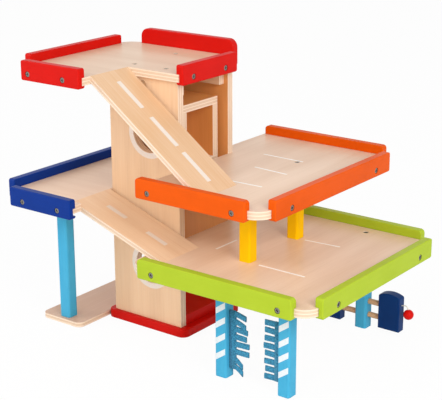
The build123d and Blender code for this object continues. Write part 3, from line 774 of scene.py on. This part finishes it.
@dataclass
class RoadMarkings:
    """White print: dashes on the ramps, bays on the decks, rings round the windows and car wash stripes.

    Attributes:
        ink: The layer that everything is printed in.
        old_white: Ink of the dashes and rings.
        bay_white: Ink of the bay lines.
        stripe_white: Ink of the stripes.
        deck_ground: Wood colour under the bay lines.
        ramp_ground: Wood colour under the dashes.
        wall_ground: Wood colour under the rings.
        pillar_ground: Paint colour under the stripes.
        light_wear: How much of the ground shows in thin spots of the dashes and bay lines.
        heavy_wear: The same in the rings and stripes.
        dash_width: Across the ramp.
        bay_width: Width of a bay line.
        upper_dashes_mm: Start and end along X of each dash on the upper ramp.
        lower_dashes_mm: The same on the lower ramp.
        orange_bays_mm: X and Y of both ends of each line on the orange deck.
        green_bays_mm: The same on the green deck.
        window_x: Where the windows' middles lie along X.
        window_heights: How high they lie.
        ring_inner: Radius of a ring's inner edge.
        ring_outer: Radius of its outer edge.
        ring_points: Points round each edge.
        pillar_round: Radius of a pillar's long edges.
        stripe_height: Of a stripe, straight up.
        stripe_rise: How much higher its right end is.
        stripe_inset: From the pillar's sides to the stripe's ends.
        stripe_columns: Faces from end to end, so that it follows the rounding.
        left_tops_mm: Height of each stripe's upper left corner on the left pillar.
        right_tops_mm: The same on the right pillar.
    """

    ink: Ink = field(default_factory=Ink)
    old_white: str = "#E9DDD2"
    bay_white: str = "#FFFBF6"
    stripe_white: str = "#E0E4E6"
    deck_ground: str = "#E3CDB4"
    ramp_ground: str = "#E8C79E"
    wall_ground: str = "#EBCBA6"
    pillar_ground: str = "#9CCFE6"
    light_wear: float = 0.3
    heavy_wear: float = 0.4
    dash_width: float = 6.2 * MM
    bay_width: float = 2.6 * MM
    upper_dashes_mm: tuple[tuple[float, float], ...] = ((-4.5, 29.3), (41.1, 76.9), (84.9, 120.0))
    lower_dashes_mm: tuple[tuple[float, float], ...] = ((-26.0, 1.5), (31.8, 59.3))
    orange_bays_mm: tuple[tuple[float, ...], ...] = (
        (85.0, 64.0, 140.4, 63.0),
        (108.0, 13.8, 154.0, 10.3),
        (120.0, -45.6, 159.0, -44.5),
    )
    green_bays_mm: tuple[tuple[float, ...], ...] = (
        (99.5, -47.5, 100.0, -9.3),
        (167.0, -60.5, 226.0, -61.0),
        (162.0, 36.4, 206.5, 39.9),
    )
    window_x: float = 6.5 * MM
    window_heights: tuple[float, ...] = (234.5 * MM, 77.5 * MM)
    ring_inner: float = 22.2 * MM
    ring_outer: float = 28.5 * MM
    ring_points: int = 96
    pillar_round: float = 2.8 * MM
    stripe_height: float = 7.0 * MM
    stripe_rise: float = 8.5 * MM
    stripe_inset: float = 1.4 * MM
    stripe_columns: int = 14
    left_tops_mm: tuple[float, ...] = (78.9, 62.4, 44.3, 25.9)
    right_tops_mm: tuple[float, ...] = (78.2, 60.7, 43.9, 26.6)

    def finish(self, ink: str, ground: str, wear: float) -> ScreenPrint:
        """Ink of one white over a ground of one colour."""
        return ScreenPrint(f"white_ink_{ground[1:]}", ink, ground, wear)

    def ramp_dashes(self, node: str, spans: Sequence[Sequence[float]]) -> None:
        """Print the centre dashes of a ramp.

        Args:
            node: The ramp.
            spans: Start and end of each dash along X, in mm.
        """
        low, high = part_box(node)
        fall = (low.z - high.z) / (high.x - low.x)
        up = Vector((-fall, 0, 1)).normalized()
        middle = (low.y + high.y) / 2
        finish = self.finish(self.old_white, self.ramp_ground, self.light_wear)
        for number, span in enumerate(spans):
            ends = [Vector((x * MM, middle, high.z + fall * (x * MM - low.x))) for x in span]
            mesh = self.ink.bar(ends[0], ends[1], self.dash_width, up)
            make_piece(f"{node}_dash_{number}", mesh, finish)

    def bays(self, deck: str, lines: Sequence[Sequence[float]]) -> None:
        """Print the parking bay lines of a deck.

        Args:
            deck: The deck.
            lines: X and Y of both ends of each line, in mm.
        """
        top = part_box(deck)[1].z
        finish = self.finish(self.bay_white, self.deck_ground, self.light_wear)
        for number, (x0, y0, x1, y1) in enumerate(lines):
            start, end = Vector((x0 * MM, y0 * MM, top)), Vector((x1 * MM, y1 * MM, top))
            mesh = self.ink.bar(start, end, self.bay_width, Vector((0, 0, 1)))
            make_piece(f"{deck}_bay_line_{number}", mesh, finish)

    def window_rings(self) -> None:
        """Print the ring round each round window of the front wall."""
        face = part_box("tower_front_wall")[0].y
        up = Vector((0, -1, 0))
        finish = self.finish(self.old_white, self.wall_ground, self.heavy_wear)
        turns = [2 * math.pi * point / self.ring_points for point in range(self.ring_points)]
        for number, height in enumerate(self.window_heights):
            centre = Vector((self.window_x, face, height))
            outer, inner = (
                [centre + Vector((math.cos(turn), 0, math.sin(turn))) * radius for turn in turns]
                for radius in (self.ring_outer, self.ring_inner)
            )
            mesh = self.ink.layer(outer, up, inner)
            make_piece(f"window_ring_{number}", mesh, finish)

    def stripe(self, low: Vector, high: Vector, top: float) -> bmesh.types.BMesh:
        """One slanted stripe on a pillar's front, which follows the rounding of its edges.

        Args:
            low: The pillar's lowest corner.
            high: Its highest corner.
            top: Height of the stripe's upper left corner.

        Returns:
            The stripe's mesh.
        """
        mesh = bmesh.new()
        rings = []
        start, end = low.x + self.stripe_inset, high.x - self.stripe_inset
        drop = Vector((0, 0, -self.stripe_height))
        for step in range(self.stripe_columns + 1):
            share = step / self.stripe_columns
            x = start + (end - start) * share
            side = -1 if x < (low.x + high.x) / 2 else 1
            # How far x lies past the start of the rounding gives the angle the surface has turned by.
            past = max(self.pillar_round - min(x - low.x, high.x - x), 0.0)
            tilt = math.asin(past / self.pillar_round)
            outward = Vector((side * math.sin(tilt), -math.cos(tilt), 0))
            y = low.y + self.pillar_round * (1 - math.cos(tilt))
            surface = Vector((x, y, top + self.stripe_rise * share))
            under, over = outward * self.ink.lift, outward * (self.ink.lift + self.ink.thickness)
            rings.append([mesh.verts.new(surface + part) for part in (under + drop, under, over, over + drop)])
        for first, second in zip(rings, rings[1:]):
            for i in range(4):
                j = (i + 1) % 4
                mesh.faces.new((first[i], first[j], second[j], second[i]))
        mesh.faces.new(rings[0])
        mesh.faces.new(list(reversed(rings[-1])))
        return mesh

    def wash_stripes(self, pillar: str, tops: Sequence[float]) -> None:
        """Print the slanted stripes on the front of a car wash pillar.

        Args:
            pillar: The pillar.
            tops: Height of each stripe's upper left corner, in mm.
        """
        low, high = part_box(pillar)
        finish = self.finish(self.stripe_white, self.pillar_ground, self.heavy_wear)
        for number, top in enumerate(tops):
            mesh = self.stripe(low, high, top * MM)
            make_piece(f"{pillar}_stripe_{number}", mesh, finish)

    def build(self) -> None:
        """Print everything."""
        self.ramp_dashes("upper_ramp", self.upper_dashes_mm)
        self.ramp_dashes("lower_ramp", self.lower_dashes_mm)
        self.bays("orange_deck", self.orange_bays_mm)
        self.bays("green_deck", self.green_bays_mm)
        self.window_rings()
        self.wash_stripes("wash_left_pillar", self.left_tops_mm)
        self.wash_stripes("wash_right_pillar", self.right_tops_mm)


# ---- car wash ----


@dataclass
class FeltBrush:
    """A felt comb: a backing glued to its pillar, and loose strips that bend each in its own way.

    Attributes:
        node: The construction node it takes the place of.
        inward: Which way its strips point along X, 1 or -1.
        lengths_mm: How far each strip reaches from the pillar, from the lowest up.
        droops: How far each strip's tip sinks, as a share of its length.
        seed: Starts the random bends and the fuzz.
        strip_height: Of one strip.
        pitch: From one strip to the next.
        felt: Thickness of the felt.
        backing: Width of the backing.
        backing_layers: Its thickness, in thicknesses of felt.
        backing_edge: Bevel of its edges.
        root: Where the strips start, as a share of the backing's width.
        most_bend: The farthest a tip swings forward or back, as a share of the strip's length.
        sag_power: How late along its length a strip sags.
        corner_loss: How much a strip's corners are drawn in.
        fuzz_size: Size of the felt's bumps.
        fuzz_height_mm: How far they stand out.
        segments: Faces along a strip.
        side_points: Points on each of the four sides of its outline.
    """

    node: str
    inward: int
    lengths_mm: tuple[float, ...]
    droops: tuple[float, ...]
    seed: int
    strip_height: float = 6.3 * MM
    pitch: float = 8.7 * MM
    felt: float = 2.2 * MM
    backing: float = 8.0 * MM
    backing_layers: float = 1.25
    backing_edge: float = 0.4 * MM
    root: float = 0.8
    most_bend: float = 0.05
    sag_power: float = 1.3
    corner_loss: float = 0.12
    fuzz_size: float = 1.1 * MM
    fuzz_height_mm: float = 0.22
    segments: int = 14
    side_points: int = 6

    def strip(self, mesh: bmesh.types.BMesh, root: Vector, length: float, bend: float, droop: float) -> None:
        """Add one strip that leaves the backing straight and then bends and sags.

        Args:
            mesh: The mesh that gets the strip.
            root: The middle of the strip's fixed end.
            length: Its length.
            bend: How far its tip swings to the back, as a share of its length.
            droop: How far its tip sinks, as a share of its length.
        """
        loops = []
        count = self.side_points * 4
        for step in range(self.segments + 1):
            share = step / self.segments
            centre = root + Vector(
                (
                    self.inward * length * share,
                    bend * length * share**2,
                    -droop * length * share**self.sag_power,
                )
            )
            loop = []
            for around in range(count):
                # Y and z go once round a square, which is then scaled to the strip's section.
                side, along = divmod(around, self.side_points)
                t = along / self.side_points * 2 - 1
                y, z = ((t, -1), (1, t), (-t, 1), (-1, -t))[side]
                rounded = 1 - self.corner_loss * (abs(y * z)) ** 3
                local = Vector((0, y * self.felt / 2, z * self.strip_height / 2)) * rounded
                spot = centre + local
                fuzz = noise.noise(spot / self.fuzz_size + Vector((self.seed, 0, 0)))
                loop.append(mesh.verts.new(spot + local.normalized() * fuzz * self.fuzz_height_mm * MM))
            loops.append(loop)
        for first, second in zip(loops, loops[1:]):
            for i in range(count):
                j = (i + 1) % count
                mesh.faces.new((first[i], first[j], second[j], second[i]))
        mesh.faces.new(loops[0])
        mesh.faces.new(list(reversed(loops[-1])))

    def build(self) -> None:
        """Build the brush in the place of its plain comb."""
        low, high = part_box(self.node)
        face = low.x if self.inward > 0 else high.x
        middle = (low.y + high.y) / 2
        chance = random.Random(self.seed)
        mesh = bmesh.new()
        slab = bmesh.ops.create_cube(mesh, size=1.0)["verts"]
        size = Vector((self.backing, self.felt * self.backing_layers, high.z - low.z))
        centre = Vector((face + self.inward * self.backing / 2, middle, (low.z + high.z) / 2))
        bmesh.ops.transform(mesh, matrix=Matrix.Diagonal((*size, 1)), verts=slab)
        bmesh.ops.translate(mesh, vec=centre, verts=slab)
        edges = list(mesh.edges)
        bmesh.ops.bevel(mesh, geom=edges, offset=self.backing_edge, segments=2, affect="EDGES")
        for number, (length, droop) in enumerate(zip(self.lengths_mm, self.droops)):
            height = low.z + number * self.pitch + self.strip_height / 2
            start = Vector((face + self.inward * self.backing * self.root, middle, height))
            bend = chance.uniform(-self.most_bend, self.most_bend)
            self.strip(mesh, start, length * MM - self.backing * self.root, bend, droop)
        piece = make_piece(f"{self.node}_felt", mesh, WoolFelt(), smooth=True)
        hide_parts(self.node)


@dataclass
class HoseCord:
    """The short cord between the right pump and its bead."""

    diameter: float = 1.2 * MM

    def build(self) -> None:
        """Build the cord as a smooth curve in the place of its plain tube."""
        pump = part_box("fuel_pump_right")[1].x
        bead_low, bead_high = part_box("hose_bead")
        bead = (bead_low + bead_high) / 2
        # It leaves the pump's shoulder just inside its side, arches over, and ends inside the bead's bore.
        route = (
            (pump - 1.5 * MM, bead_high.z + 2.4 * MM),
            (pump + 3.6 * MM, bead_high.z + 4.2 * MM),
            (bead.x - 1.2 * MM, bead_high.z + 3.0 * MM),
            (bead.x, bead_high.z - 1.5 * MM),
        )
        data = bpy.data.curves.new("hose_cord_line", "CURVE")
        data.dimensions = "3D"
        spline = data.splines.new("NURBS")
        spline.points.add(len(route) - 1)
        for point, (x, z) in zip(spline.points, route):
            point.co = (x, bead.y, z, 1.0)
        spline.order_u = 3
        spline.use_endpoint_u = True
        data.bevel_depth = self.diameter / 2
        data.bevel_resolution = 4
        data.materials.append(BraidedCord().material())
        piece = bpy.data.objects.new("hose_cord_line", data)
        bpy.context.scene.collection.objects.link(piece)
        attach(piece, GARAGE)
        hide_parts("hose_cord")
        LOG.info("built hose_cord_line on %s", GARAGE)


# ---- studio ----


@dataclass
class Studio:
    """White floor, soft lights and the camera of the photograph.

    Attributes:
        camera_mm: Where the camera stands, solved from the photograph.
        right: Its rightward direction.
        up: Its upward direction.
        focal_px: Its focal length in pixels of the photograph.
        frame_px: The photograph's width.
        sensor_mm: The sensor's width.
        clip: The nearest and farthest that it sees.
        floor_half: Half the floor's side.
        floor_drop: How far the floor lies below the base plate.
        floor_colour: The floor's colour where light falls on it.
        floor_white: How much of the floor is plain white to the camera, so that shadows stay faint.
        surround: Strength of the even light from all around.
        aim: The point that every lamp faces.
        lamps: Name, place, side in metres and power in watts of each lamp.
    """

    camera_mm: Triple = (895.79, -1093.70, 589.53)
    right: Triple = (0.798899, 0.601458, -0.003134)
    up: Triple = (-0.179025, 0.242761, 0.953424)
    focal_px: float = 1257.5
    frame_px: int = 442
    sensor_mm: float = 36.0
    clip: tuple[float, float] = (0.05, 50.0)
    floor_half: float = 6.0
    floor_drop: float = 0.05 * MM
    floor_colour: str = "#F4F4F4"
    floor_white: float = 0.95
    surround: float = 0.6
    aim: Triple = (0.07, 0.0, 0.16)
    lamps: tuple[tuple[str, Triple, float, float], ...] = (
        ("key", (1.8, -0.8, 1.1), 1.0, 25.0),
        ("front", (0.2, -1.8, 1.0), 1.4, 9.0),
        ("left", (-1.5, -1.2, 1.1), 1.2, 13.0),
    )

    def camera(self) -> None:
        """Place the camera where the photograph was taken from."""
        data = bpy.data.cameras.new("camera")
        data.sensor_width = self.sensor_mm
        data.lens = self.focal_px / self.frame_px * self.sensor_mm
        data.clip_start, data.clip_end = self.clip
        right, up = Vector(self.right), Vector(self.up)
        back = right.cross(up)
        turn = Matrix((right, up, back)).transposed().to_4x4()
        camera = bpy.data.objects.new("camera", data)
        camera.matrix_world = Matrix.Translation(Vector(self.camera_mm) * MM) @ turn
        bpy.context.scene.collection.objects.link(camera)
        bpy.context.scene.camera = camera

    def floor(self) -> None:
        """Lay a pale floor that keeps a faint shadow."""
        mesh = bmesh.new()
        half = self.floor_half
        corners = [mesh.verts.new((x * half, y * half, 0)) for x, y in ((-1, -1), (1, -1), (1, 1), (-1, 1))]
        mesh.faces.new(corners)
        data = bpy.data.meshes.new("floor")
        mesh.to_mesh(data)
        mesh.free()
        made = bpy.data.materials.new("studio_floor")
        made.use_nodes = True
        tree = made.node_tree
        shader = tree.nodes["Principled BSDF"]
        shader.inputs["Base Color"].default_value = linear(self.floor_colour)
        shader.inputs["Roughness"].default_value = 0.9
        shader.inputs["Specular IOR Level"].default_value = 0.1
        glow = add_node(tree, "Emission", {"Color": (1, 1, 1, 1), "Strength": 1.0})
        share = maths(tree, "MULTIPLY", seen_directly(tree), self.floor_white)
        mix = add_node(tree, "MixShader", {0: share, 1: shader.outputs[0], 2: glow.outputs[0]})
        tree.links.new(mix.outputs[0], tree.nodes["Material Output"].inputs["Surface"])
        data.materials.append(made)
        floor = bpy.data.objects.new("floor", data)
        floor.location.z = -self.floor_drop
        bpy.context.scene.collection.objects.link(floor)

    def world(self) -> None:
        """White surroundings: even light on the object, plain white where seen."""
        world = bpy.data.worlds.new("studio_world")
        bpy.context.scene.world = world
        world.use_nodes = True
        tree = world.node_tree
        shade = tree.nodes["Background"]
        shade.inputs["Color"].default_value = (1, 1, 1, 1)
        shade.inputs["Strength"].default_value = self.surround
        white = add_node(tree, "Background", {"Color": (1, 1, 1, 1), "Strength": 1.0})
        inputs = {0: seen_directly(tree), 1: shade.outputs[0], 2: white.outputs[0]}
        mix = add_node(tree, "MixShader", inputs)
        tree.links.new(mix.outputs[0], tree.nodes["World Output"].inputs["Surface"])

    def lamp(self, name: str, place: Triple, size: float, power: float) -> None:
        """Hang one soft square lamp.

        Args:
            name: The lamp's name.
            place: Where it hangs, in metres.
            size: The side of its square.
            power: Its power in watts.
        """
        data = bpy.data.lights.new(name, "AREA")
        data.energy = power
        data.size = size
        lamp = bpy.data.objects.new(name, data)
        way = Vector(self.aim) - Vector(place)
        lamp.matrix_world = Matrix.Translation(place) @ way.to_track_quat("-Z", "Y").to_matrix().to_4x4()
        bpy.context.scene.collection.objects.link(lamp)

    def build(self) -> None:
        """Set up the camera, floor, surroundings and lamps."""
        self.camera()
        self.floor()
        self.world()
        for lamp in self.lamps:
            self.lamp(*lamp)
        bpy.context.scene.view_settings.view_transform = "Standard"


def main() -> None:
    """Load the construction, dress it, and add what is printed, felted or corded."""
    logging.basicConfig(level=logging.INFO, format="%(name)s: %(message)s")
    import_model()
    Studio().build()
    PlywoodSheets().build()
    PaintedWood().build()
    dress_screws()
    RoadMarkings().build()
    FeltBrush(
        "wash_brush_left",
        inward=1,
        lengths_mm=(17.0, 16.5, 25.0, 25.0, 21.5, 23.5, 21.0, 20.7),
        droops=(0.6, 0.75, -0.02, -0.04, 0.04, 0.06, 0.3, 0.24),
        seed=3,
    ).build()
    FeltBrush(
        "wash_brush_right",
        inward=-1,
        lengths_mm=(20.5, 20.0, 20.5, 20.4, 21.4, 20.4, 20.9, 20.2),
        droops=(0.03, 0.05, 0.03, 0.0, 0.02, 0.03, 0.02, 0.02),
        seed=8,
    ).build()
    HoseCord().build()


if __name__ == "__main__":
    main()
